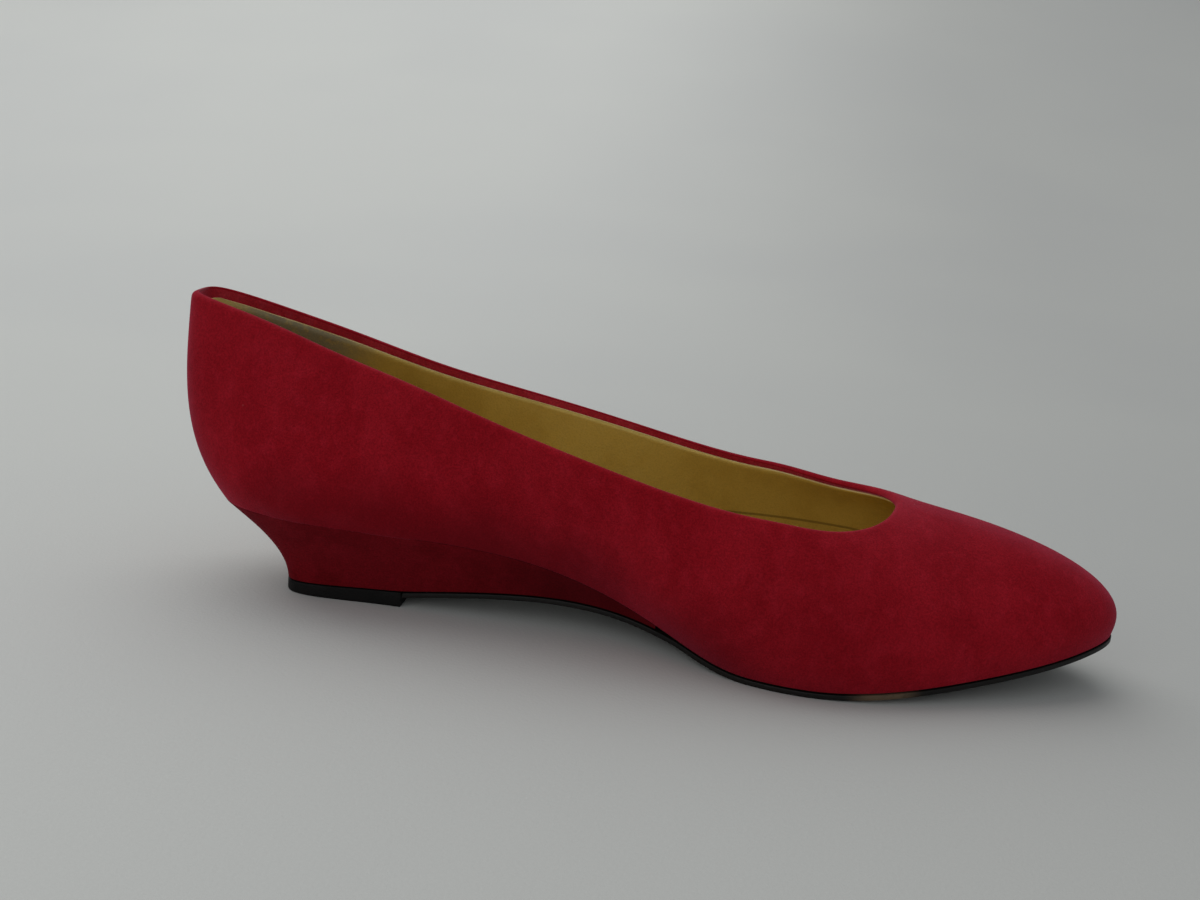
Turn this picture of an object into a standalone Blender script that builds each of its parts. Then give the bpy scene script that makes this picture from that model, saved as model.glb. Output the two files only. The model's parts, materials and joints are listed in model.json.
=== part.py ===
"""A low-cut wedge pump in red suede, the left shoe, standing empty on its sole.

Metres, +Z up, toe towards +X, the inner side of the foot towards -Y. The origin is on the floor,
under the middle of the shoe. The upper is one thin wall, open at the collar and underneath, and
the insole, the covered wedge, the outsole and the heel's top piece close it from below.
"""

from typing import NamedTuple

import bmesh
import bpy
import numpy as np

# Driving dimensions, in metres. The feather edge is the line where the upper meets the sole
FEATHER_LENGTH = 0.2462
HEEL_WIDTH = 0.0515
BALL_WIDTH = 0.0756
BACK_HEIGHT = 0.0562  # collar above the feather edge, at the back
THROAT_HEIGHT = 0.0418  # collar above the feather edge, at the throat
HEEL_RISE = 0.0225  # feather edge at the back, above the one at the ball
TOE_SPRING = 0.0125  # feather edge at the toe, above the one at the ball
WALL = 0.0022
INSOLE_THICKNESS = 0.0030
INSOLE_SKIVE = 0.0009  # how far the insole's lower edge is cut back under its upper edge
OUTSOLE_THICKNESS = 0.0015
OUTSOLE_LIP = 0.0003
TOP_PIECE_THICKNESS = 0.0033  # at the back
TOP_PIECE_BREAST = 0.0043  # thickness at its straight front edge
TOP_PIECE_WIDTH = 0.0268
TOP_PIECE_LENGTH = 0.0350
TOP_PIECE_SETBACK = 0.0194  # from the feather edge at the back, forward to the top piece
WEDGE_TIP = 0.0007  # thickness left at the wedge's front edge
JOIN_GAP = 0.0003

# How the feather edge runs along the shoe, in shares of its length
FLAT_FROM = 0.607
FLAT_TO = 0.681
HEEL_DROP_POWER = 2.35
TOE_CURVE_POWER = 1.6
WIDTH_BLEND = (0.20, 0.60)  # where the heel's width gives way to the ball's
WAIST_BLEND = (0.30, 1.00)  # along the wedge, where the top piece's width gives way to the upper's

# The wedge's underside leaves the top piece and reaches its tip at these slopes
BREAST_SLOPE = 0.15
TIP_SLOPE = -0.23
SETBACK_POWER = 4.0
# How much fuller the wedge's bottom edge is round the back than the upper's, and how fast that fades
BACK_FULLNESS = 0.70
FULLNESS_POWER = 6.0
# How far the wedge's side curve is pulled, across and down, in shares of its width and height
BACK_COVE = (0.99, 0.56)
SIDE_COVE = (0.62, 0.50)
COVE_END = 0.16  # share of the length where the back's cove has become the side's

# Mesh density
STEPS_PER_BAY = 4
UPPER_STEPS = 10
WEDGE_STEPS = 8


class Section(NamedTuple):
    """One section of the last, from the heel to the toe. Angles are in degrees.

    Places along the shoe are shares of its length, widths are shares of its width there, and
    a rise runs from the throat's height (0) to the back's (1).
    """

    along: float
    inner: float
    outer: float
    top_along: float
    top_inner: float
    top_outer: float
    inner_rise: float
    outer_rise: float
    inner_lean: float
    outer_lean: float
    inner_tuck: float
    outer_tuck: float
    pull: float


# along, inner, outer | collar: along, inner, outer, rises | lean at the sole | tuck at the collar | pull
SECTIONS = (
    Section(0.000, 0.000, 0.000, -0.048, 0.000, 0.000, 1.00, 1.00, 39, 39, 3, 3, 0.38),
    Section(0.014, 0.240, 0.240, -0.030, 0.172, 0.172, 0.99, 0.99, 38, 37, 6, 6, 0.38),
    Section(0.058, 0.392, 0.400, 0.044, 0.250, 0.252, 0.74, 0.69, 34, 33, 14, 14, 0.38),
    Section(0.117, 0.470, 0.490, 0.121, 0.309, 0.309, 0.38, 0.33, 31, 29, 19, 19, 0.38),
    Section(0.206, 0.476, 0.524, 0.214, 0.383, 0.396, 0.00, -0.14, 25, 23, 18, 18, 0.38),
    Section(0.308, 0.378, 0.484, 0.312, 0.452, 0.475, -0.33, -0.44, 22, 17, 8, 10, 0.38),
    Section(0.409, 0.283, 0.443, 0.405, 0.458, 0.472, -0.39, -0.46, 30, 18, 4, 8, 0.38),
    Section(0.511, 0.310, 0.462, 0.500, 0.448, 0.452, -0.18, -0.26, 39, 22, 12, 16, 0.38),
    Section(0.600, 0.460, 0.496, 0.594, 0.426, 0.415, 0.01, -0.03, 37, 22, 30, 34, 0.38),
    Section(0.681, 0.518, 0.503, 0.666, 0.385, 0.368, -0.12, -0.13, 31, 17, 50, 52, 0.38),
    Section(0.763, 0.484, 0.453, 0.716, 0.286, 0.278, -0.18, -0.16, 25, 15, 64, 68, 0.38),
    Section(0.844, 0.388, 0.360, 0.741, 0.178, 0.172, -0.13, -0.12, 24, 15, 76, 78, 0.36),
    Section(0.917, 0.281, 0.247, 0.750, 0.090, 0.086, -0.09, -0.09, 25, 17, 81, 82, 0.35),
    Section(0.974, 0.156, 0.122, 0.753, 0.036, 0.034, -0.08, -0.08, 27, 21, 83, 83, 0.335),
    Section(1.000, 0.028, -0.028, 0.754, 0.002, -0.002, -0.08, -0.08, 28, 28, 83, 83, 0.31),
)
WEDGE_BAYS = 7  # bays between sections, from the heel, that the wedge fills


def smooth(value, start, end):
    """0 before start, 1 after end, and an even curve between them."""
    share = np.clip((value - start) / (end - start), 0, 1)
    return share * share * (3 - 2 * share)


def feather_height(x):
    """Height of the feather edge above the floor."""
    share = np.clip(x / FEATHER_LENGTH, 0, 1)
    heel = 1 - smooth((share / FLAT_FROM) ** HEEL_DROP_POWER, 0, 1)
    toe = (np.clip(share - FLAT_TO, 0, 1) / (1 - FLAT_TO)) ** TOE_CURVE_POWER
    return OUTSOLE_THICKNESS + JOIN_GAP + HEEL_RISE * heel + TOE_SPRING * toe


def top_piece_height(x):
    """Height of the top piece's upper face, which is thicker at its straight front edge."""
    share = np.clip((x - TOP_PIECE_SETBACK) / TOP_PIECE_LENGTH, 0, 1)
    return TOP_PIECE_THICKNESS + (TOP_PIECE_BREAST - TOP_PIECE_THICKNESS) * share


def underside_height(x):
    """Height of the wedge's underside: along the top piece, then arched from its breast to the tip."""
    breast = TOP_PIECE_SETBACK + TOP_PIECE_LENGTH
    tip = SECTIONS[WEDGE_BAYS].along * FEATHER_LENGTH
    low = top_piece_height(x) + JOIN_GAP
    high = feather_height(tip) - JOIN_GAP - WEDGE_TIP
    share = np.clip((x - breast) / (tip - breast), 0, 1)
    rise = smooth(share, 0, 1)
    leaving = share * (1 - share) ** 2 * BREAST_SLOPE
    arriving = share**2 * (share - 1) * TIP_SLOPE
    return low + (high - low) * rise + (tip - breast) * (leaving + arriving)


def loop_rows():
    """The table as one closed loop of rows: out along the inner side, back along the outer."""
    rows = []
    for side, stations in ((-1, SECTIONS), (1, SECTIONS[-2:0:-1])):
        for row in stations:
            width = HEEL_WIDTH + (BALL_WIDTH - HEEL_WIDTH) * smooth(row.along, *WIDTH_BLEND)
            foot, top, rise, lean, tuck = (
                (row.inner, row.top_inner, row.inner_rise, row.inner_lean, row.inner_tuck)
                if side < 0
                else (row.outer, row.top_outer, row.outer_rise, row.outer_lean, row.outer_tuck)
            )
            rows.append(
                (
                    row.along * FEATHER_LENGTH,
                    side * foot * width,
                    row.top_along * FEATHER_LENGTH,
                    side * top * width,
                    THROAT_HEIGHT + (BACK_HEIGHT - THROAT_HEIGHT) * rise,
                    lean,
                    tuck,
                    row.pull,
                )
            )
    return np.array(rows)


def closed_spline(rows, steps):
    """A smooth closed curve through the rows, with this many steps from each row to the next."""
    count = len(rows)
    after = np.roll(rows, -1, axis=0)
    span = np.linalg.norm(after[:, :2] - rows[:, :2], axis=1)
    slope = (after - rows) / span[:, None]
    matrix = np.zeros((count, count))
    for i in range(count):
        matrix[i, i - 1] = span[i - 1]
        matrix[i, i] = 2 * (span[i - 1] + span[i])
        matrix[i, (i + 1) % count] = span[i]
    bend = np.linalg.solve(matrix, 6 * (slope - np.roll(slope, 1, axis=0)))
    bend_after = np.roll(bend, -1, axis=0)
    points = []
    for i in range(count):
        for share in np.arange(steps) / steps:
            near = ((1 - share) ** 3 - (1 - share)) * bend[i]
            far = (share**3 - share) * bend_after[i]
            points.append((1 - share) * rows[i] + share * after[i] + span[i] ** 2 / 6 * (near + far))
    return np.array(points)


def outward(loop):
    """The flat normals of a closed loop, in plan, pointing away from the shoe."""
    along = np.roll(loop, -1, axis=0) - np.roll(loop, 1, axis=0)
    across = np.stack([along[:, 1], -along[:, 0]], axis=1)
    return across / np.linalg.norm(across, axis=1)[:, None]


def with_height(plan, height):
    return np.column_stack([plan, height])


def bezier(start, first, second, end, steps):
    """Points on each rib's curve, from the sole to the collar."""
    share = np.linspace(0, 1, steps + 1)[None, :, None]
    rest = 1 - share
    start, first, second, end = (point[:, None, :] for point in (start, first, second, end))
    return rest**3 * start + 3 * rest**2 * share * first + 3 * rest * share**2 * second + share**3 * end


def upper_ribs():
    """The outer face of the upper: a loop of ribs, each from the feather edge to the collar."""
    loop = closed_spline(loop_rows(), STEPS_PER_BAY)
    foot = with_height(loop[:, 0:2], feather_height(loop[:, 0]))
    top = with_height(loop[:, 2:4], feather_height(loop[:, 2]) + loop[:, 4])
    lean, tuck = np.radians(loop[:, 5]), np.radians(loop[:, 6])
    pull = (loop[:, 7] * np.linalg.norm(top - foot, axis=1))[:, None]
    leaving = with_height(outward(foot[:, :2]) * np.sin(lean)[:, None], np.cos(lean))
    arriving = with_height(outward(top[:, :2]) * np.sin(tuck)[:, None], -np.cos(tuck))
    return bezier(foot, foot + pull * leaving, top + pull * arriving, top, UPPER_STEPS)


def inner_face(ribs):
    """The ribs moved in by the wall's thickness."""
    around = np.roll(ribs, -1, axis=0) - np.roll(ribs, 1, axis=0)
    normal = np.cross(around, np.gradient(ribs, axis=1))
    return ribs - WALL * normal / np.linalg.norm(normal, axis=2)[:, :, None]


def sides(loop):
    """The inner and the outer half of a closed loop, each from the heel to the toe."""
    half = len(loop) // 2 + 1
    return loop[:half], np.roll(loop[::-1], 1, axis=0)[:half]


def cut_at(side, x, keep_front):
    """One side of an outline up to x, or from x on, with its last or first point moved onto x."""
    end = np.array([x, np.interp(x, side[:, 0], side[:, 1])])
    if keep_front:
        return np.vstack([end, side[side[:, 0] > x]])
    return np.vstack([side[side[:, 0] < x], end])


def slab_sections(inner, outer, top, bottom, flare=None):
    """Four-cornered sections of a slab between two heights, given as functions of x."""
    inner_top, outer_top = flare or (inner, outer)
    corners = ((inner_top, top), (outer_top, top), (outer, bottom), (inner, bottom))
    return np.stack([with_height(side, height(side[:, 0])) for side, height in corners], axis=1)


def object_from(bm, name, material):
    mesh = bpy.data.meshes.new(name)
    bm.to_mesh(mesh)
    bm.free()
    mesh.materials.append(material)
    mesh.shade_smooth()
    mesh.set_sharp_from_angle(angle=np.radians(40))
    made = bpy.data.objects.new(name, mesh)
    shoe_collection().objects.link(made)
    return made


def loft(name, material, sections, closed_ends):
    """A closed solid through its sections. An end that isn't closed off is a single edge."""
    bm = bmesh.new()
    rings = [[bm.verts.new(point) for point in section] for section in sections]
    for ring, following in zip(rings, rings[1:]):
        for i in range(len(ring)):
            bm.faces.new((ring[i - 1], ring[i], following[i], following[i - 1]))
    for ring, is_closed in zip((rings[0], rings[-1]), closed_ends):
        if is_closed:
            bm.faces.new(ring)
    bmesh.ops.remove_doubles(bm, verts=bm.verts, dist=1e-7)
    bmesh.ops.recalc_face_normals(bm, faces=bm.faces)
    return object_from(bm, name, material)


def shoe_collection():
    """The collection that holds the shoe, made on the first call."""
    found = bpy.data.collections.get("wedge_pump")
    if found is None:
        found = bpy.data.collections.new("wedge_pump")
        bpy.context.scene.collection.children.link(found)
    return found


def finish(name, colour, roughness, metallic=0.0):
    material = bpy.data.materials.new(name)
    material.use_nodes = True
    shader = material.node_tree.nodes["Principled BSDF"]
    shader.inputs["Base Color"].default_value = (*colour, 1)
    shader.inputs["Roughness"].default_value = roughness
    shader.inputs["Metallic"].default_value = metallic
    return material


def make_upper(ribs, material):
    """The upper's outer face as an open surface, thickened inwards to its wall."""
    bm = bmesh.new()
    columns = [[bm.verts.new(point) for point in rib] for rib in ribs]
    for column, following in zip(columns, columns[1:] + columns[:1]):
        for i in range(UPPER_STEPS):
            bm.faces.new((column[i], following[i], following[i + 1], column[i + 1]))
    upper = object_from(bm, "upper", material)
    wall = upper.modifiers.new("wall", "SOLIDIFY")
    wall.thickness = WALL
    wall.offset = -1
    wall.use_even_offset = True
    wall.use_quality_normals = True
    return upper


def make_insole(ribs, material):
    """The insole, cut to the inside of the wall and flared with it."""
    foot = ribs[:, 0]
    normal = outward(foot[:, :2])
    bottom = foot[:, :2] - normal * (WALL + JOIN_GAP + INSOLE_SKIVE)
    wall = inner_face(ribs)
    top = []
    for points, height, away in zip(wall, foot[:, 2] + INSOLE_THICKNESS, normal):
        beside = [np.interp(height, points[:, 2], points[:, axis]) for axis in (0, 1)]
        top.append(beside - away * JOIN_GAP)
    sections = slab_sections(
        *sides(bottom),
        lambda x: feather_height(x) + INSOLE_THICKNESS,
        feather_height,
        sides(np.array(top)),
    )
    return loft("insole", material, sections, (False, False))


def wedge_sides(ribs):
    """For each side, the wedge's top edge under the feather edge and its narrower bottom edge."""
    for side in sides(ribs[:, 0]):
        top = side[: WEDGE_BAYS * STEPS_PER_BAY + 1].copy()
        top[:, 2] -= JOIN_GAP
        reach = top[:, 0] / top[-1, 0]
        narrowing = TOP_PIECE_WIDTH / HEEL_WIDTH
        x = top[:, 0] + TOP_PIECE_SETBACK * (1 - reach) ** SETBACK_POWER
        fullness = BACK_FULLNESS * (1 - reach) ** FULLNESS_POWER + smooth(reach, *WAIST_BLEND)
        y = top[:, 1] * (narrowing + (1 - narrowing) * fullness)
        yield top, np.column_stack([x, y, underside_height(x)])


def make_wedge(ribs, material):
    """The covered wedge, coved in at the back and thinning to its tip at the waist."""
    faces = []
    for top, bottom in wedge_sides(ribs):
        turn = smooth(top[:, 0] / FEATHER_LENGTH, 0, COVE_END)[:, None]
        across, down = (back + (side - back) * turn for back, side in zip(BACK_COVE, SIDE_COVE))
        elbow = top + (bottom - top) * np.hstack([across, across, down])
        share = np.linspace(0, 1, WEDGE_STEPS + 1)[None, :, None]
        curve = (1 - share) ** 2 * top[:, None] + 2 * share * (1 - share) * elbow[:, None]
        faces.append(curve + share**2 * bottom[:, None])
    inner, outer = faces
    return loft("wedge", material, np.hstack([inner, outer[:, ::-1]]), (False, True))


def make_outsole(ribs, material):
    """The outsole, from the top piece's breast, up under the wedge's waist and on to the toe."""
    breast = TOP_PIECE_SETBACK + TOP_PIECE_LENGTH + JOIN_GAP
    tip = WEDGE_BAYS * STEPS_PER_BAY
    under_wedge = [bottom[:, :2] for _, bottom in wedge_sides(ribs)]
    wedge_front = under_wedge[0][-1, 0]
    outline = []
    for foot, waist in zip(sides(ribs[:, 0, :2]), under_wedge):
        outline.append(np.vstack([waist, foot[tip + 1 :]]))
    loop = np.vstack([outline[0], outline[1][-2:0:-1]])
    loop += outward(loop) * OUTSOLE_LIP
    edges = [cut_at(side, breast, keep_front=True) for side in sides(loop)]

    def top(x):
        covered = x < wedge_front + JOIN_GAP
        return np.where(covered, underside_height(x), feather_height(x)) - JOIN_GAP

    sections = slab_sections(*edges, top, lambda x: top(x) - OUTSOLE_THICKNESS)
    return loft("outsole", material, sections, (True, False))


def make_top_piece(ribs, material):
    """The heel's top piece: the wedge's round back in plan, with a straight breast."""
    breast = TOP_PIECE_SETBACK + TOP_PIECE_LENGTH
    edges = [cut_at(bottom[:, :2], breast, keep_front=False) for _, bottom in wedge_sides(ribs)]
    sections = slab_sections(*edges, top_piece_height, np.zeros_like)
    return loft("top_piece", material, sections, (False, True))


def centre_on_floor(objects):
    """Moves the pieces together, so that the middle of their box is over the origin."""
    graph = bpy.context.evaluated_depsgraph_get()
    corners = np.array([corner for piece in objects for corner in piece.evaluated_get(graph).bound_box])
    middle = (corners.min(axis=0) + corners.max(axis=0)) / 2
    for piece in objects:
        piece.location = (-middle[0], -middle[1], 0)


def main():
    for leftover in list(bpy.data.objects):
        bpy.data.objects.remove(leftover)
    ribs = upper_ribs()
    red_suede = finish("red_suede", (0.115, 0.006, 0.009), 0.95)
    wedge_suede = finish("wedge_suede", (0.075, 0.005, 0.007), 0.95)
    gold_leather = finish("gold_leather", (0.22, 0.14, 0.045), 0.45)
    sole_leather = finish("black_sole", (0.012, 0.011, 0.011), 0.55)
    heel_rubber = finish("black_top_piece", (0.009, 0.009, 0.009), 0.6)
    pieces = [
        make_upper(ribs, red_suede),
        make_insole(ribs, gold_leather),
        make_wedge(ribs, wedge_suede),
        make_outsole(ribs, sole_leather),
        make_top_piece(ribs, heel_rubber),
    ]
    centre_on_floor(pieces)


if __name__ == "__main__":
    main()
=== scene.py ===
"""Looks of the red suede wedge pump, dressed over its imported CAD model.

Sizes are in metres and in the CAD model's frame: toe along +X, inner side along -Y, floor at Z = 0.
"""

import json
import logging
from collections.abc import Callable, Iterator
from contextlib import contextmanager
from dataclasses import dataclass
from enum import Enum
from math import cos, pi, radians, sin

import bmesh
import bpy
from mathutils import Matrix, Vector

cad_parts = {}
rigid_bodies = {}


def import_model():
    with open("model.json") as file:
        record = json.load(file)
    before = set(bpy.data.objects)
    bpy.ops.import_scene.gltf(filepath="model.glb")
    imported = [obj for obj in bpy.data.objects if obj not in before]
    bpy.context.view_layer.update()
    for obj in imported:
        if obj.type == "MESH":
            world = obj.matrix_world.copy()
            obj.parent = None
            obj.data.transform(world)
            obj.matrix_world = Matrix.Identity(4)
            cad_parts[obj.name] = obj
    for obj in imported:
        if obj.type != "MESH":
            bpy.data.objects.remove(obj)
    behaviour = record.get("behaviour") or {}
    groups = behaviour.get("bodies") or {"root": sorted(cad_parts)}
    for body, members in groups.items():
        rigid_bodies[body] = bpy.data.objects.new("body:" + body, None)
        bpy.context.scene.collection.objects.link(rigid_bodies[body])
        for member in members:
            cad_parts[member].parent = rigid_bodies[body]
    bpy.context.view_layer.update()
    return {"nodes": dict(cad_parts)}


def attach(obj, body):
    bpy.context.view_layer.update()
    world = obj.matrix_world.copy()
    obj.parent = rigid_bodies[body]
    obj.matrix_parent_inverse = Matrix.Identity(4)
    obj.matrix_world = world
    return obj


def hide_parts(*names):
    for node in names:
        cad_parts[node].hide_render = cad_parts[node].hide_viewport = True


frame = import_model()
log = logging.getLogger("wedge_pump")

Colour = tuple[float, float, float, float]
Place = tuple[float, float, float]
Socket = bpy.types.NodeSocket
Value = float | Socket
Tone = Colour | Socket

SAME_CORNER = 0.00001
PAIR_BEND, PAIR_SHAPE = radians(70), radians(80)
WALL_EDGE, SLAB_EDGE = radians(50), radians(42)
FACING_UP = 0.5

# A Mix node's sockets when it mixes colours.
SHARE, FIRST, SECOND, MIXED = 0, 6, 7, 2


class Part(Enum):
    """What is picked of a mesh in edit mode."""

    CORNERS = "VERT"
    EDGES = "EDGE"
    FACES = "FACE"


class Skin(Enum):
    """The upper's surfaces, by the material slot that they are in."""

    OUTSIDE = 0
    BAND = 1
    INSIDE = 2


def shade(red: int, green: int, blue: int) -> Colour:
    """Turns a colour's screen values into the shader's linear light.

    Args:
        red: From 0 to 255, as are the other two.
        green: The screen value of green.
        blue: The screen value of blue.

    Returns:
        The linear colour, fully opaque.
    """
    parts = (value / 255 for value in (red, green, blue))
    linear = (p / 12.92 if p <= 0.04045 else ((p + 0.055) / 1.055) ** 2.4 for p in parts)
    return (*linear, 1.0)


# Work in edit mode


def let_go() -> None:
    """Leaves edit mode and deselects every object."""
    if bpy.context.mode != "OBJECT":
        bpy.ops.object.mode_set(mode="OBJECT")
    bpy.ops.object.select_all(action="DESELECT")


@contextmanager
def editing(piece: bpy.types.Object, part: Part = Part.FACES) -> Iterator[bmesh.types.BMesh]:
    """Opens one piece in edit mode with nothing selected, and closes it again.

    Args:
        piece: The mesh object to work on.
        part: What is going to be selected in it.

    Returns:
        The piece's mesh as edit mode holds it.
    """
    let_go()
    bpy.context.view_layer.objects.active = piece
    piece.select_set(True)
    bpy.ops.object.mode_set(mode="EDIT")
    bpy.ops.mesh.select_mode(type=part.value)
    bpy.ops.mesh.select_all(action="DESELECT")
    yield bmesh.from_edit_mesh(piece.data)
    bpy.ops.object.mode_set(mode="OBJECT")
    piece.select_set(False)


def pick(piece: bpy.types.Object, parts: bmesh.types.BMElemSeq, wanted: Callable[..., bool]) -> int:
    """Selects those corners, edges or faces of the open piece that pass a test.

    Args:
        piece: The object in edit mode.
        parts: Its corners, edges or faces.
        wanted: The test, given one of them.

    Returns:
        How many were selected.
    """
    found = [part for part in parts if wanted(part)]
    for part in found:
        part.select_set(True)
    bmesh.update_edit_mesh(piece.data)
    return len(found)


def bevel(width: float, steps: int) -> None:
    """Bevels the selected edges of the open piece."""
    bpy.ops.mesh.bevel(offset_type="OFFSET", offset=width, segments=steps, affect="EDGES")


def height_of(edge: bmesh.types.BMEdge) -> float:
    """The height of an edge's middle."""
    return sum(corner.co.z for corner in edge.verts) / len(edge.verts)


def copy_of(node: str, name: str) -> bpy.types.Object:
    """Copies a CAD node as a piece of its own, with its corners merged and its triangles paired.

    Args:
        node: The CAD node's name.
        name: The new piece's name.

    Returns:
        The new piece, with no material.
    """
    piece = bpy.data.objects.new(name, frame["nodes"][node].data.copy())
    bpy.context.scene.collection.objects.link(piece)
    piece.data.materials.clear()
    with editing(piece):
        bpy.ops.mesh.select_all(action="SELECT")
        bpy.ops.mesh.remove_doubles(threshold=SAME_CORNER)
        bpy.ops.mesh.tris_convert_to_quads(face_threshold=PAIR_BEND, shape_threshold=PAIR_SHAPE)
        bpy.ops.mesh.customdata_custom_splitnormals_clear()
    return piece


def apply(piece: bpy.types.Object, kind: str, **settings: object) -> None:
    """Adds a modifier to a piece and applies it.

    Args:
        piece: The object to work on.
        kind: Blender's name of the modifier.
        settings: The modifier's own settings.
    """
    let_go()
    bpy.context.view_layer.objects.active = piece
    modifier = piece.modifiers.new(kind.lower(), kind)
    for key, value in settings.items():
        setattr(modifier, key, value)
    bpy.ops.object.modifier_apply(modifier=modifier.name)


def subdivide(piece: bpy.types.Object, levels: int) -> None:
    """Rounds a piece with an applied Subdivision Surface of that many levels."""
    apply(piece, "SUBSURF", levels=levels, render_levels=levels)


def smooth(piece: bpy.types.Object) -> None:
    """Shades a whole piece smooth and lets it go.

    Args:
        piece: The object to shade.
    """
    let_go()
    bpy.context.view_layer.objects.active = piece
    piece.select_set(True)
    bpy.ops.object.shade_smooth()
    let_go()


def dress(piece: bpy.types.Object, slot: str, *materials: bpy.types.Material) -> None:
    """Gives a piece its materials, smooth shading and its body.

    The slots are filled one by one, because clearing them would put every face in the first.

    Args:
        piece: The finished mesh.
        slot: The material slot in the record; not used.
        materials: One material for each of its slots, in order.
    """
    slots = piece.data.materials
    for place, material in enumerate(materials):
        if place < len(slots):
            slots[place] = material
        else:
            slots.append(material)
    while len(slots) > len(materials):
        slots.pop()
    smooth(piece)
    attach(piece, "root")
    log.info("%s: %d triangles", piece.name, sum(len(p.vertices) - 2 for p in piece.data.polygons))


# Shader nodes


@dataclass
class Bench:
    """Puts nodes in one node tree and joins them."""

    tree: bpy.types.NodeTree

    def put(
        self, kind: str, sockets: dict[str | int, object] | None = None, **settings: object
    ) -> bpy.types.Node:
        """Adds one node.

        Args:
            kind: The node's type, without ShaderNode in front.
            sockets: What goes into its inputs by name or place, as a value or as another's output.
            settings: The node's own settings.

        Returns:
            The node.
        """
        node = self.tree.nodes.new("ShaderNode" + kind)
        for key, value in settings.items():
            setattr(node, key, value)
        for key, value in (sockets or {}).items():
            if isinstance(value, Socket):
                self.tree.links.new(value, node.inputs[key])
            else:
                node.inputs[key].default_value = value
        return node

    def effect(self, group: bpy.types.NodeTree, sockets: dict[str, object]) -> bpy.types.Node:
        """Adds a node group.

        Args:
            group: The group to add.
            sockets: What goes into its inputs by name.

        Returns:
            The group's node.
        """
        return self.put("Group", sockets, node_tree=group)

    def join(self, values: dict[str, Socket], node: bpy.types.Node) -> None:
        """Joins outputs to a node's inputs.

        Args:
            values: The outputs, by the name of the input that takes each.
            node: The node that takes them.
        """
        for key, value in values.items():
            self.tree.links.new(value, node.inputs[key])

    def noise(
        self, vector: Socket, scale: Value, detail: float = 2.0, rough: float = 0.5
    ) -> Socket:
        """Adds a noise pattern.

        Args:
            vector: The coordinates.
            scale: Its repeats in a metre.
            detail: Its finer layers.
            rough: How strong those are.

        Returns:
            Its value, from about 0.3 to 0.7.
        """
        sockets = {"Vector": vector, "Scale": scale, "Detail": detail, "Roughness": rough}
        return self.put("TexNoise", sockets).outputs["Fac"]

    def ramp(
        self, value: Value, low: Value, high: Value, start: Value = 0.0, end: Value = 1.0
    ) -> Socket:
        """Turns a value into a smooth step.

        Args:
            value: The value.
            low: Where the step begins.
            high: Where it ends.
            start: What it gives up to low.
            end: What it gives from high on.

        Returns:
            The stepped value.
        """
        sockets = {"Value": value, "From Min": low, "From Max": high}
        sockets |= {"To Min": start, "To Max": end}
        return self.put("MapRange", sockets, interpolation_type="SMOOTHSTEP").outputs["Result"]

    def math(self, operation: str, first: Value, second: Value = 0.0) -> Socket:
        """Adds a sum, product or the like of two values.

        Args:
            operation: Blender's name of it.
            first: The first value.
            second: The second value.

        Returns:
            What it gives.
        """
        return self.put("Math", {0: first, 1: second}, operation=operation).outputs[0]

    def mix(self, share: Value, first: Tone, second: Tone) -> Socket:
        """Mixes two colours.

        Args:
            share: How much there is of the second, from 0 to 1.
            first: The first colour.
            second: The second colour.

        Returns:
            The mixed colour.
        """
        sockets = {SHARE: share, FIRST: first, SECOND: second}
        return self.put("Mix", sockets, data_type="RGBA").outputs[MIXED]

    def tint(self, colour: Socket, value: Socket) -> Socket:
        """Makes a colour darker or lighter.

        Args:
            colour: The colour.
            value: What it is multiplied by, round 1.

        Returns:
            The new colour.
        """
        sockets = {SHARE: 1.0, FIRST: colour, SECOND: value}
        return self.put("Mix", sockets, data_type="RGBA", blend_type="MULTIPLY").outputs[MIXED]


def new_group(
    name: str, takes: dict[str, float | tuple[float, ...]], gives: dict[str, str]
) -> tuple[Bench, bpy.types.NodeOutputs, bpy.types.Node]:
    """Starts a shader node group.

    Args:
        name: What the group is called.
        takes: Its inputs by name, each with a first value, which also says what kind it is.
        gives: Its outputs by name, each with its kind: Color or Float.

    Returns:
        A bench for the group, the values that it is given, and its output node.
    """
    tree = bpy.data.node_groups.new(name, "ShaderNodeTree")
    for key, value in takes.items():
        kind = "Float" if isinstance(value, float) else "Color" if len(value) == 4 else "Vector"
        socket = tree.interface.new_socket(key, in_out="INPUT", socket_type="NodeSocket" + kind)
        socket.default_value = value
    for key, kind in gives.items():
        tree.interface.new_socket(key, in_out="OUTPUT", socket_type="NodeSocket" + kind)
    given, made = tree.nodes.new("NodeGroupInput"), tree.nodes.new("NodeGroupOutput")
    return Bench(tree), given.outputs, made


ORIGIN = (0.0, 0.0, 0.0)
GREY = (0.5, 0.5, 0.5, 1.0)
SURFACE = {"Color": "Color", "Roughness": "Float", "Height": "Float"}

# A nap's patches are stretched a little up the shoe, and hold finer strokes.
NAP_SHAPE, STROKES_IN_PATCH = (1.25, 1.0, 0.95), 4.2
# How often a leather's clouds and rubbed places repeat in a metre.
CLOUDS, RUBS = 75.0, 420.0


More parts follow.
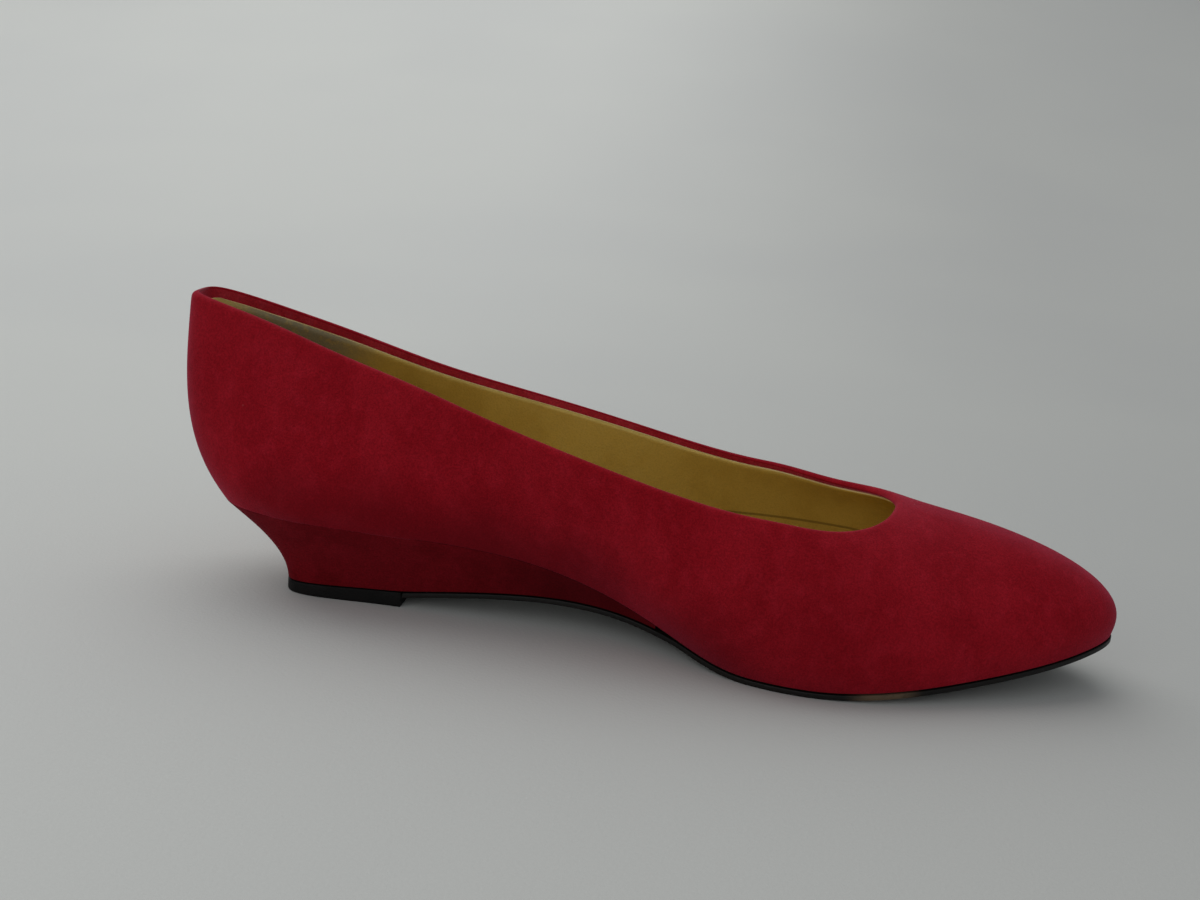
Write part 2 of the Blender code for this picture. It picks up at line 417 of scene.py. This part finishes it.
def nap_group() -> bpy.types.NodeTree:
    """Makes the brushed nap of suede: patches where the pile lies another way, and its fibres.

    Returns:
        The node group.
    """
    takes = {"Vector": ORIGIN, "Colour": GREY, "Deep": GREY, "Brushed": GREY}
    bench, take, made = new_group("suede_nap", takes | {"Patches": 1.0, "Pile": 1.0}, SURFACE)
    sockets = {0: take["Vector"], 1: NAP_SHAPE}
    stretched = bench.put("VectorMath", sockets, operation="MULTIPLY").outputs[0]
    patches = bench.noise(stretched, take["Patches"], detail=3.0, rough=0.62)
    finer = bench.math("MULTIPLY", take["Patches"], STROKES_IN_PATCH)
    strokes = bench.noise(stretched, finer, detail=3.0, rough=0.6)
    pile = bench.noise(take["Vector"], take["Pile"], detail=3.0, rough=0.75)
    colour = bench.mix(bench.ramp(patches, 0.40, 0.60), take["Deep"], take["Colour"])
    colour = bench.mix(bench.ramp(strokes, 0.46, 0.74, end=0.42), colour, take["Brushed"])
    colour = bench.tint(colour, bench.ramp(pile, 0.30, 0.70, start=0.78, end=1.22))
    rough = bench.ramp(patches, 0.35, 0.65, start=1.0, end=0.86)
    height = bench.math("ADD", pile, bench.math("MULTIPLY", strokes, 0.6))
    bench.join({"Color": colour, "Roughness": rough, "Height": height}, made)
    return bench.tree


def grain_group() -> bpy.types.NodeTree:
    """Makes the grain of smooth leather or moulded rubber, with cloudy colour and worn places.

    Returns:
        The node group.
    """
    takes = {"Vector": ORIGIN, "Colour": GREY, "Cloud": GREY, "Worn": GREY}
    takes |= {"Wear": 0.0, "Grain": 1.0, "Shine": 0.5}
    bench, take, made = new_group("leather_grain", takes, SURFACE)
    sockets = {"Vector": take["Vector"], "Scale": take["Grain"]}
    cells = bench.put("TexVoronoi", sockets).outputs["Distance"]
    clouds = bench.noise(take["Vector"], CLOUDS, detail=3.0, rough=0.6)
    rubbed = bench.noise(take["Vector"], RUBS, detail=4.0, rough=0.7)
    worn = bench.math("MULTIPLY", take["Wear"], bench.ramp(rubbed, 0.26, 0.52, start=0.45))
    colour = bench.mix(bench.ramp(clouds, 0.40, 0.62), take["Colour"], take["Cloud"])
    colour = bench.mix(worn, colour, take["Worn"])
    colour = bench.tint(colour, bench.ramp(cells, 0.0, 0.7, start=0.93, end=1.05))
    rough = bench.math("ADD", take["Shine"], bench.ramp(rubbed, 0.35, 0.65, start=-0.05, end=0.08))
    rough = bench.math("ADD", rough, bench.math("MULTIPLY", worn, 0.25))
    height = bench.math("ADD", cells, bench.math("MULTIPLY", rubbed, 0.8))
    bench.join({"Color": colour, "Roughness": rough, "Height": height}, made)
    return bench.tree


def spot_group() -> bpy.types.NodeTree:
    """Makes a soft round spot at one place, such as a speck, a shadowed or a worn patch.

    Returns:
        The node group.
    """
    takes = {"Vector": ORIGIN, "Centre": ORIGIN, "Radius": 1.0, "Blur": 1.0}
    bench, take, made = new_group("spot", takes, {"Mask": "Float"})
    sockets = {0: take["Vector"], 1: take["Centre"]}
    away = bench.put("VectorMath", sockets, operation="DISTANCE").outputs["Value"]
    edge = bench.math("ADD", take["Radius"], take["Blur"])
    bench.join({"Mask": bench.ramp(away, take["Radius"], edge, start=1.0, end=0.0)}, made)
    return bench.tree


def start_material(name: str) -> tuple[bpy.types.Material, Bench, bpy.types.Node, Socket]:
    """Starts a material.

    Args:
        name: What the material is called.

    Returns:
        The material, a bench for its nodes, its Principled shader, and the object's coordinates.
    """
    material = bpy.data.materials.new(name)
    material.use_nodes = True
    bench = Bench(material.node_tree)
    shader = material.node_tree.nodes["Principled BSDF"]
    return material, bench, shader, bench.put("TexCoord").outputs["Object"]


def roughen(bench: Bench, shader: bpy.types.Node, height: Socket, depth: float) -> None:
    """Joins a height pattern to a shader's Normal as a bump.

    Args:
        bench: The material's bench.
        shader: Its Principled shader.
        height: The pattern.
        depth: The bump's depth in metres.
    """
    bump = bench.put("Bump", {"Height": height, "Strength": 1.0, "Distance": depth})
    bench.join({"Normal": bump.outputs["Normal"]}, shader)


def hold(shader: bpy.types.Node, values: dict[str, object]) -> None:
    """Sets plain values on a shader's own sockets."""
    for key, value in values.items():
        shader.inputs[key].default_value = value


# Finishes


@dataclass(frozen=True)
class Spot:
    """One place on a finish: where it is, how wide it is and how strongly it shows."""

    place: Place
    radius: float
    blur: float
    share: float

    def mask(self, bench: Bench, group: bpy.types.NodeTree, coordinates: Socket) -> Socket:
        """Draws the spot as a mask.

        Args:
            bench: The material's bench.
            group: The group that draws one spot.
            coordinates: The object's coordinates.

        Returns:
            The mask, up to the spot's share.
        """
        sockets = {"Vector": coordinates, "Centre": self.place}
        sockets |= {"Radius": self.radius, "Blur": self.blur}
        return bench.math("MULTIPLY", bench.effect(group, sockets).outputs["Mask"], self.share)


@dataclass(frozen=True)
class Mark(Spot):
    """A spot with a colour of its own."""

    colour: Colour


@dataclass(frozen=True)
class Seam:
    """A level line on the outer side of the lining, where two parts of it meet."""

    height: float
    width: float
    start: float
    end: float
    share: float
    colour: Colour
    fade_in: float = 0.004
    fade_out: float = 0.003
    fade_across: float = 0.001

    def mask(self, bench: Bench, coordinates: Socket) -> Socket:
        """Draws the seam's line as a mask, fading out at both ends.

        Args:
            bench: The material's bench.
            coordinates: The object's coordinates.

        Returns:
            The mask, up to the seam's share.
        """
        x, y, z = bench.put("SeparateXYZ", {0: coordinates}).outputs
        away = bench.math("ABSOLUTE", bench.math("SUBTRACT", z, self.height))
        line = bench.ramp(away, self.width / 2, self.width, start=self.share, end=0.0)
        for limit in (
            bench.ramp(x, self.start - self.fade_in, self.start),
            bench.ramp(x, self.end, self.end + self.fade_out, start=1.0, end=0.0),
            bench.ramp(y, 0.0, self.fade_across),
        ):
            line = bench.math("MULTIPLY", line, limit)
        return line


@dataclass(frozen=True)
class Suede:
    """A dyed suede with its nap, its sheen and the few marks on it, some of them painted shade."""

    name: str
    colour: Colour
    deep: Colour
    brushed: Colour
    sheen: float
    sheen_tint: Colour
    marks: tuple[Mark, ...] = ()
    sheen_roughness: float = 0.42
    specular: float = 0.04
    patches: float = 52.0
    pile: float = 1900.0
    depth: float = 0.00012

    def material(self, nap: bpy.types.NodeTree, spot: bpy.types.NodeTree) -> bpy.types.Material:
        """Makes the suede's material.

        Args:
            nap: The group that draws the nap.
            spot: The group that draws one mark.

        Returns:
            The material.
        """
        material, bench, shader, place = start_material(self.name)
        sockets = {"Vector": place, "Patches": self.patches, "Pile": self.pile}
        sockets |= {"Colour": self.colour, "Deep": self.deep, "Brushed": self.brushed}
        pile = bench.effect(nap, sockets).outputs
        colour = pile["Color"]
        for mark in self.marks:
            colour = bench.mix(mark.mask(bench, spot, place), colour, mark.colour)
        bench.join({"Base Color": colour, "Roughness": pile["Roughness"]}, shader)
        roughen(bench, shader, pile["Height"], self.depth)
        hold(shader, {"Specular IOR Level": self.specular, "Sheen Weight": self.sheen})
        hold(shader, {"Sheen Roughness": self.sheen_roughness, "Sheen Tint": self.sheen_tint})
        return material


@dataclass(frozen=True)
class Hide:
    """A smooth leather or rubber with its grain, gloss and wear."""

    name: str
    colour: Colour
    cloud: Colour
    worn: Colour
    shine: float
    grain: float
    depth: float
    metallic: float = 0.0
    coat: float = 0.0
    coat_roughness: float = 0.3
    specular: float = 0.5
    wear: tuple[Spot, ...] = ()
    seam: Seam | None = None

    def material(self, grain: bpy.types.NodeTree, spot: bpy.types.NodeTree) -> bpy.types.Material:
        """Makes the leather's material.

        Args:
            grain: The group that draws the grain.
            spot: The group that draws one worn place.

        Returns:
            The material.
        """
        material, bench, shader, place = start_material(self.name)
        wear: Value = 0.0
        for worn_place in self.wear:
            wear = bench.math("MAXIMUM", wear, worn_place.mask(bench, spot, place))
        sockets = {"Vector": place, "Colour": self.colour, "Cloud": self.cloud, "Worn": self.worn}
        sockets |= {"Wear": wear, "Grain": self.grain, "Shine": self.shine}
        skin = bench.effect(grain, sockets).outputs
        colour = skin["Color"]
        if self.seam:
            colour = bench.mix(self.seam.mask(bench, place), colour, self.seam.colour)
        bench.join({"Base Color": colour, "Roughness": skin["Roughness"]}, shader)
        roughen(bench, shader, skin["Height"], self.depth)
        hold(shader, {"Metallic": self.metallic, "Specular IOR Level": self.specular})
        hold(shader, {"Coat Weight": self.coat, "Coat Roughness": self.coat_roughness})
        return material


@dataclass(frozen=True)
class Cloth:
    """The floor's pale cloth, with painted shade: its colour is made darker from the heel's side to
    the toe's, as the light falls off.
    """

    name: str
    grey: Colour
    pale: Colour
    weave: float
    folds: float
    bright_to: float
    dim_from: float
    dim: float
    depth: float
    roughness: float = 0.9
    specular: float = 0.2

    def material(self) -> bpy.types.Material:
        """Makes the cloth's material.

        Returns:
            The material.
        """
        material, bench, shader, place = start_material(self.name)
        folds = bench.noise(place, self.folds)
        tone = bench.mix(bench.ramp(folds, 0.35, 0.65), self.grey, self.pale)
        along = bench.put("SeparateXYZ", {0: place}).outputs["X"]
        # Painted shade: the colour darkens along X towards the toe's side.
        painted_falloff = bench.ramp(along, self.bright_to, self.dim_from, start=1.0, end=self.dim)
        bench.join({"Base Color": bench.tint(tone, painted_falloff)}, shader)
        hold(shader, {"Roughness": self.roughness, "Specular IOR Level": self.specular})
        roughen(bench, shader, bench.noise(place, self.weave, rough=0.6), self.depth)
        return material


PALE_SPECK = shade(205, 170, 165)
ORANGE_SPECK = shade(190, 90, 60)
RUBBED_NAP = shade(150, 90, 95)
# Painted shade: a darker red for the suede low on the sides, near the sole and the wedge.
PAINTED_LOW_SHADE = shade(92, 10, 17)

RED_SUEDE = Suede(
    name="red_suede",
    colour=shade(145, 19, 30),
    deep=shade(137, 16, 26),
    brushed=shade(160, 27, 41),
    sheen=0.24,
    sheen_tint=shade(235, 130, 170),
    marks=(
        # Three specks on the inner side.
        Mark((-0.1074, -0.0203, 0.0542), 0.0002, 0.0006, 0.6, PALE_SPECK),
        Mark((-0.0603, -0.0250, 0.0486), 0.0002, 0.0005, 0.4, ORANGE_SPECK),
        Mark((-0.0059, -0.0312, 0.0446), 0.0001, 0.0005, 0.35, PALE_SPECK),
        # Painted shade: darker suede low on the inner side, from the heel to the ball, and at the
        # outer waist, where shade falls by the sole.
        Mark((-0.092, -0.024, 0.026), 0.004, 0.018, 0.50, PAINTED_LOW_SHADE),
        Mark((-0.068, -0.026, 0.024), 0.005, 0.019, 0.60, PAINTED_LOW_SHADE),
        Mark((-0.042, -0.022, 0.018), 0.006, 0.021, 0.70, PAINTED_LOW_SHADE),
        Mark((-0.018, -0.022, 0.014), 0.005, 0.019, 0.55, PAINTED_LOW_SHADE),
        Mark((0.020, -0.036, 0.004), 0.004, 0.020, 0.40, PAINTED_LOW_SHADE),
        Mark((0.045, -0.040, 0.010), 0.008, 0.028, 0.22, PAINTED_LOW_SHADE),
        Mark((-0.040, 0.030, 0.018), 0.006, 0.024, 0.45, PAINTED_LOW_SHADE),
        # The rubbed place at the top of the back.
        Mark((-0.1270, 0.0013, 0.0800), 0.0014, 0.0030, 0.45, RUBBED_NAP),
    ),
)
# Painted highlight: a lighter, pinker copy of the red suede for the turned-in band, standing for
# the sheen and light falling on it.
SHEEN_BAND_SUEDE = Suede(
    name="sheen_band_suede",
    colour=shade(170, 42, 52),
    deep=shade(160, 32, 42),
    brushed=shade(188, 62, 76),
    sheen=0.45,
    sheen_tint=shade(240, 150, 185),
)
# Painted shade: the wedge's suede is the upper's red suede made darker, for the shade on the low
# wedge under the upper.
SHADED_WEDGE_SUEDE = Suede(
    name="wedge_suede",
    colour=shade(108, 13, 21),
    deep=shade(98, 10, 17),
    brushed=shade(120, 18, 28),
    sheen=0.08,
    sheen_tint=shade(225, 120, 150),
    # Painted shade: a darker patch towards the wedge's front end, under the arch.
    marks=(Mark((-0.006, -0.017, 0.010), 0.004, 0.044, 0.7, shade(56, 6, 11)),),
)
GOLD_LEATHER = Hide(
    name="gold_leather",
    colour=shade(198, 168, 82),
    cloud=shade(191, 160, 75),
    worn=shade(138, 130, 104),
    metallic=0.35,
    shine=0.42,
    grain=1700.0,
    depth=0.00005,
    wear=(Spot((-0.103, 0.014, 0.070), 0.008, 0.020, 0.95),),
    seam=Seam(
        height=0.0240, width=0.0005, start=0.024, end=0.060, share=0.6, colour=shade(96, 74, 30)
    ),
)
CUT_EDGE = Hide(
    name="lining_cut_edge",
    colour=shade(232, 212, 150),
    cloud=shade(218, 194, 128),
    worn=shade(160, 140, 100),
    shine=0.75,
    grain=2600.0,
    depth=0.00003,
)
BLACK_SOLE = Hide(
    name="black_sole",
    colour=shade(12, 10, 8),
    cloud=shade(17, 14, 11),
    worn=shade(104, 86, 66),
    shine=0.48,
    grain=1300.0,
    depth=0.00006,
    coat=0.05,
    specular=0.2,
    wear=(
        Spot((0.045, 0.002, 0.0), 0.012, 0.030, 0.35),
        Spot((0.0685, -0.0365, 0.0022), 0.003, 0.008, 0.75),
    ),
)
BLACK_RUBBER = Hide(
    name="black_rubber",
    colour=shade(9, 8, 7),
    cloud=shade(13, 11, 10),
    worn=shade(60, 56, 52),
    shine=0.6,
    grain=2200.0,
    depth=0.00006,
    specular=0.15,
)
FLOOR_CLOTH = Cloth(
    name="floor_cloth",
    grey=shade(208, 209, 205),
    pale=shade(211, 212, 207),
    weave=900.0,
    folds=3.2,
    bright_to=-0.22,
    dim_from=0.24,
    dim=0.76,
    depth=0.0001,
)


# Pieces of the shoe


@dataclass(frozen=True)
class Crease:
    """A soft trough in the suede between two places, or a ridge if its depth is below zero."""

    start: Place
    end: Place
    depth: float
    width: float
    core: float = 0.25

    def press(self, piece: bpy.types.Object) -> None:
        """Presses the crease into a finished mesh, fading out over its width.

        Args:
            piece: The mesh to press it into.
        """
        start, end = Vector(self.start), Vector(self.end)
        along = end - start

        def on_line(corner: bmesh.types.BMVert) -> bool:
            """Whether a corner is in the middle of the crease."""
            share = min(max((corner.co - start).dot(along) / along.length_squared, 0.0), 1.0)
            return (corner.co - start - share * along).length < self.width * self.core

        with editing(piece, Part.CORNERS) as mesh:
            count = pick(piece, mesh.verts, on_line)
            bpy.ops.transform.shrink_fatten(
                value=-self.depth,
                use_proportional_edit=True,
                use_proportional_connected=True,
                proportional_edit_falloff="SMOOTH",
                proportional_size=self.width,
            )
        log.info("%s: crease of %.2f mm at %d corners", piece.name, 1000 * self.depth, count)


CREASES = (
    # A trough at the heel's inner side, a ridge along the wedge's joint, a short ridge by the toes.
    Crease((-0.0978, -0.0251, 0.0342), (-0.0761, -0.0269, 0.0351), 0.00045, 0.0065),
    Crease((-0.0972, -0.0231, 0.0276), (-0.0603, -0.0236, 0.0256), -0.00035, 0.0045),
    Crease((0.0806, -0.0284, 0.0270), (0.0838, -0.0307, 0.0208), -0.00022, 0.0045),
)


@dataclass
class Upper:
    """The suede upper with its topline turned over in a roll, and the gold lining inside it."""

    topline_roll: float = 0.0017
    roll_steps: int = 4
    feather_roll: float = 0.00015
    feather_steps: int = 2
    band_at_heel: float = 0.0032
    band_at_throat: float = 0.0017
    band_curve: float = 0.6
    heel: float = -0.110
    throat: float = 0.060
    lining_wall: float = 0.0005
    levels: int = 2
    above_feather: float = 0.034
    inside: Place = (-0.060, 0.0, 0.045)

    def band(self, along: float) -> float:
        """Works out the turned-in band's depth below the topline.

        Args:
            along: The place along the shoe.

        Returns:
            The depth there.
        """
        share = min(max((along - self.heel) / (self.throat - self.heel), 0.0), 1.0)
        gain = self.band_at_throat - self.band_at_heel
        return self.band_at_heel + gain * share**self.band_curve

    def on_topline(self, edge: bmesh.types.BMEdge) -> bool:
        """Whether an edge is one of the wall's two edges at the topline."""
        return edge.seam and height_of(edge) > self.above_feather

    def on_feather(self, edge: bmesh.types.BMEdge) -> bool:
        """Whether an edge is one of the wall's two edges at the sole."""
        return edge.seam and height_of(edge) <= self.above_feather

    def mark_edges(self, piece: bpy.types.Object) -> None:
        """Marks the wall's edges, at the topline and at the sole, as seams.

        Args:
            piece: The upper.
        """
        with editing(piece, Part.EDGES):
            bpy.ops.mesh.edges_select_sharp(sharpness=WALL_EDGE)
            bpy.ops.mesh.mark_seam()

    def mark_inside(self, piece: bpy.types.Object) -> None:
        """Puts the wall's inner face in its own material slot, up to the seams.

        Args:
            piece: The upper, with its seams marked.
        """
        hit, _, _, index = piece.ray_cast(Vector(self.inside), Vector((0.0, -1.0, 0.0)))
        if not hit:
            raise ValueError("nothing of the upper lies beside the middle of the shoe")
        with editing(piece) as mesh:
            mesh.faces.ensure_lookup_table()
            mesh.faces[index].select_set(True)
            bmesh.update_edit_mesh(piece.data)
            bpy.ops.mesh.select_linked(delimit={"SEAM"})
            piece.active_material_index = Skin.INSIDE.value
            bpy.ops.object.material_slot_assign()

    def mark_outer_rim(self, piece: bpy.types.Object) -> None:
        """Marks the topline's outer edge, which no inner face touches, as the only sharp one.

        Args:
            piece: The upper, with its inner face in a slot of its own.
        """

        def outer_rim(edge: bmesh.types.BMEdge) -> bool:
            """Whether an edge is the topline's outer one."""
            return self.on_topline(edge) and all(
                face.material_index == Skin.OUTSIDE.value for face in edge.link_faces
            )

        with editing(piece, Part.EDGES) as mesh:
            bpy.ops.mesh.select_all(action="SELECT")
            bpy.ops.mesh.mark_sharp(clear=True)
            bpy.ops.mesh.select_all(action="DESELECT")
            pick(piece, mesh.edges, outer_rim)
            bpy.ops.mesh.mark_sharp()

    def turn_in_band(self, piece: bpy.types.Object) -> None:
        """Sets the inner face's first row at the band's depth, and puts it in the band's slot.

        Args:
            piece: The upper, with its inner face in a slot of its own.
        """
        with editing(piece) as mesh:
            for face in mesh.faces:
                rim = [edge for edge in face.edges if self.on_topline(edge)]
                if face.material_index != Skin.INSIDE.value or not rim:
                    continue
                face.material_index = Skin.BAND.value
                tops = {corner for edge in rim for corner in edge.verts}
                for corner in set(face.verts) - tops:
                    top = min(tops, key=lambda c: (c.co - corner.co).length)
                    down = (corner.co - top.co).normalized()
                    corner.co = top.co + down * self.band(top.co.x)
            bmesh.update_edit_mesh(piece.data)

    def take_lining(self, piece: bpy.types.Object) -> bpy.types.Object:
        """Copies the inner face below the band as the lining, and gives its own to the suede.

        Args:
            piece: The upper.

        Returns:
            The lining, as an open surface.
        """
        with editing(piece) as mesh:
            pick(piece, mesh.faces, lambda face: face.material_index == Skin.INSIDE.value)
            bpy.ops.mesh.duplicate()
            bpy.ops.mesh.separate(type="SELECTED")
        lining = next(o for o in bpy.data.objects if o.name.startswith("suede_upper."))
        lining.name = lining.data.name = "upper_lining"
        for surface in (piece, lining):
            for face in surface.data.polygons:
                if face.material_index == Skin.INSIDE.value:
                    face.material_index = Skin.OUTSIDE.value
        return lining

    def round_edges(self, piece: bpy.types.Object) -> None:
        """Rolls the topline over from its outer side and softens the wall's edges at the sole.

        Args:
            piece: The upper, with the topline's outer edge marked sharp.
        """
        for wanted, width, steps in (
            (lambda edge: not edge.smooth, self.topline_roll, self.roll_steps),
            (self.on_feather, self.feather_roll, self.feather_steps),
        ):
            with editing(piece, Part.EDGES) as mesh:
                count = pick(piece, mesh.edges, wanted)
                bevel(width, steps)
            log.info("%s: %d edges rounded by %.2f mm", piece.name, count, 1000 * width)

    def build(
        self,
        suede: bpy.types.Material,
        band_sheen: bpy.types.Material,
        gold: bpy.types.Material,
        cut: bpy.types.Material,
    ) -> None:
        """Makes and dresses the upper and its lining.

        Args:
            suede: The upper's material.
            band_sheen: The material of its turned-in band, lighter and pinker than the suede as a
                painted highlight.
            gold: The lining's material.
            cut: The material of the lining's cut edge.
        """
        piece = copy_of("upper", "suede_upper")
        for material in (suede, band_sheen, gold):
            piece.data.materials.append(material)
        self.mark_edges(piece)
        self.mark_inside(piece)
        self.mark_outer_rim(piece)
        self.turn_in_band(piece)
        lining = self.take_lining(piece)
        self.round_edges(piece)
        subdivide(piece, self.levels)
        with editing(piece, Part.EDGES):
            bpy.ops.mesh.select_all(action="SELECT")
            bpy.ops.mesh.mark_sharp(clear=True)
        for crease in CREASES:
            crease.press(piece)
        dress(piece, "red_suede", suede, band_sheen)
        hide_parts("upper")
        subdivide(lining, self.levels)
        apply(lining, "SOLIDIFY", thickness=self.lining_wall, offset=1.0, material_offset_rim=1)
        dress(lining, "gold_leather", gold, cut)


@dataclass
class Slab:
    """A slab made from its CAD node, with softened edges: the sock, wedge, outsole or top piece."""

    node: str
    name: str
    edge: float
    lift: float = 0.0
    steps: int = 2
    levels: int = 2

    def build(self, slot: str, material: bpy.types.Material) -> None:
        """Makes and dresses the slab, which stands for its CAD node.

        Args:
            slot: The material slot in the record.
            material: Its material.
        """
        piece = copy_of(self.node, self.name)
        if self.lift:
            with editing(piece) as mesh:
                pick(piece, mesh.faces, lambda face: face.normal.z > FACING_UP)
                bpy.ops.transform.translate(value=(0.0, 0.0, self.lift))
        with editing(piece, Part.EDGES):
            bpy.ops.mesh.edges_select_sharp(sharpness=SLAB_EDGE)
            bevel(self.edge, self.steps)
        subdivide(piece, self.levels)
        dress(piece, slot, material)
        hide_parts(self.node)


# Room, light and camera


@dataclass(frozen=True)
class Lamp:
    """A soft square light that faces the shoe."""

    name: str
    place: Place
    size: float
    watts: float
    aim: Place = (0.0, 0.0, 0.03)

    def hang(self) -> None:
        """Hangs the light."""
        lamp = bpy.data.lights.new(self.name, "AREA")
        lamp.shape, lamp.size, lamp.energy = "SQUARE", self.size, self.watts
        holder = bpy.data.objects.new(self.name, lamp)
        holder.location = self.place
        away = Vector(self.place) - Vector(self.aim)
        holder.rotation_euler = away.to_track_quat("Z", "Y").to_euler()
        bpy.context.scene.collection.objects.link(holder)


@dataclass
class Studio:
    """The pale floor with its rising back, the soft lights and the camera."""

    half_width: float = 3.0
    front: float = -1.6
    back: float = 0.35
    rise: float = 2.6
    rise_steps: int = 36
    lamps: tuple[Lamp, ...] = (
        Lamp("overhead", (-0.50, 0.80, 1.40), size=2.2, watts=17.0),
        Lamp("front_fill", (-0.30, -1.2, 0.40), size=1.2, watts=3.6),
    )
    room_colour: Colour = shade(214, 218, 224)
    room_strength: float = 0.46
    target: Place = (-0.013, 0.0, 0.048)
    distance: float = 0.410
    elevation: float = 14.5
    yaw: float = 6.5
    roll: float = 5.0
    lens: float = 45.0
    sensor: float = 36.0
    nearest: float = 0.01

    def build_floor(self) -> None:
        """Makes the floor as one sheet that curves up behind the shoe."""
        let_go()
        middle = (0.0, (self.front + self.back) / 2, 0.0)
        bpy.ops.mesh.primitive_plane_add(size=1.0, location=middle)
        floor = bpy.context.object
        floor.name = floor.data.name = "floor_cloth"
        floor.scale = (2 * self.half_width, self.back - self.front, 1.0)
        bpy.ops.object.transform_apply(location=True, rotation=True, scale=True)
        with editing(floor, Part.EDGES) as mesh:
            pick(floor, mesh.edges, lambda edge: min(corner.co.y for corner in edge.verts) > 0.0)
            # With no window, spin turns the other way, so a minus sign lifts the floor.
            bpy.ops.mesh.spin(
                steps=self.rise_steps,
                angle=-pi / 2,
                center=(0.0, self.back, self.rise),
                axis=(1.0, 0.0, 0.0),
            )
        with editing(floor):
            bpy.ops.mesh.select_all(action="SELECT")
            bpy.ops.mesh.remove_doubles(threshold=SAME_CORNER)
            bpy.ops.mesh.normals_make_consistent(inside=False)
        floor.data.materials.append(FLOOR_CLOTH.material())
        smooth(floor)
        log.info("%s: the stage", floor.name)

    def build_lights(self) -> None:
        """Hangs the lights and sets the grey surroundings."""
        for lamp in self.lamps:
            lamp.hang()
        room = bpy.data.worlds.new("room")
        room.use_nodes = True
        glow = room.node_tree.nodes["Background"]
        hold(glow, {"Color": self.room_colour, "Strength": self.room_strength})
        bpy.context.scene.world = room
        bpy.context.scene.view_settings.view_transform = "Standard"

    def build_camera(self) -> None:
        """Sets the camera at the photograph's angle."""
        elevation, yaw, roll = radians(self.elevation), radians(self.yaw), radians(self.roll)
        back = Vector((sin(yaw) * cos(elevation), -cos(yaw) * cos(elevation), sin(elevation)))
        right = (-back).cross(Vector((0.0, 0.0, 1.0))).normalized()
        up = right.cross(-back)
        across, above = cos(roll) * right + sin(roll) * up, cos(roll) * up - sin(roll) * right
        camera = bpy.data.objects.new("camera", bpy.data.cameras.new("camera"))
        camera.data.lens, camera.data.sensor_width = self.lens, self.sensor
        camera.data.clip_start = self.nearest
        turned = Matrix((across, above, back)).transposed().to_4x4()
        held = Matrix.Translation(Vector(self.target) + back * self.distance)
        camera.matrix_world = held @ turned
        bpy.context.scene.collection.objects.link(camera)
        bpy.context.scene.camera = camera


def main() -> None:
    """Builds the shoe's pieces in order, then the room."""
    logging.basicConfig(level=logging.INFO, format="%(name)s: %(message)s")
    nap, grain, spot = nap_group(), grain_group(), spot_group()
    suedes = (RED_SUEDE, SHEEN_BAND_SUEDE, SHADED_WEDGE_SUEDE)
    hides = (GOLD_LEATHER, CUT_EDGE, BLACK_SOLE, BLACK_RUBBER)
    red, band_sheen, wedge = (suede.material(nap, spot) for suede in suedes)
    gold, cut, sole, rubber = (hide.material(grain, spot) for hide in hides)
    Upper().build(red, band_sheen, gold, cut)
    Slab("insole", "insole_sock", edge=0.0005).build("gold_leather", gold)
    Slab("wedge", "wedge_cover", edge=0.00012, lift=0.00027).build("wedge_suede", wedge)
    Slab("outsole", "outsole_slab", edge=0.00025).build("black_sole", sole)
    Slab("top_piece", "top_piece_rubber", edge=0.0003).build("black_rubber", rubber)
    studio = Studio()
    studio.build_floor()
    studio.build_lights()
    studio.build_camera()


if __name__ == "__main__":
    main()
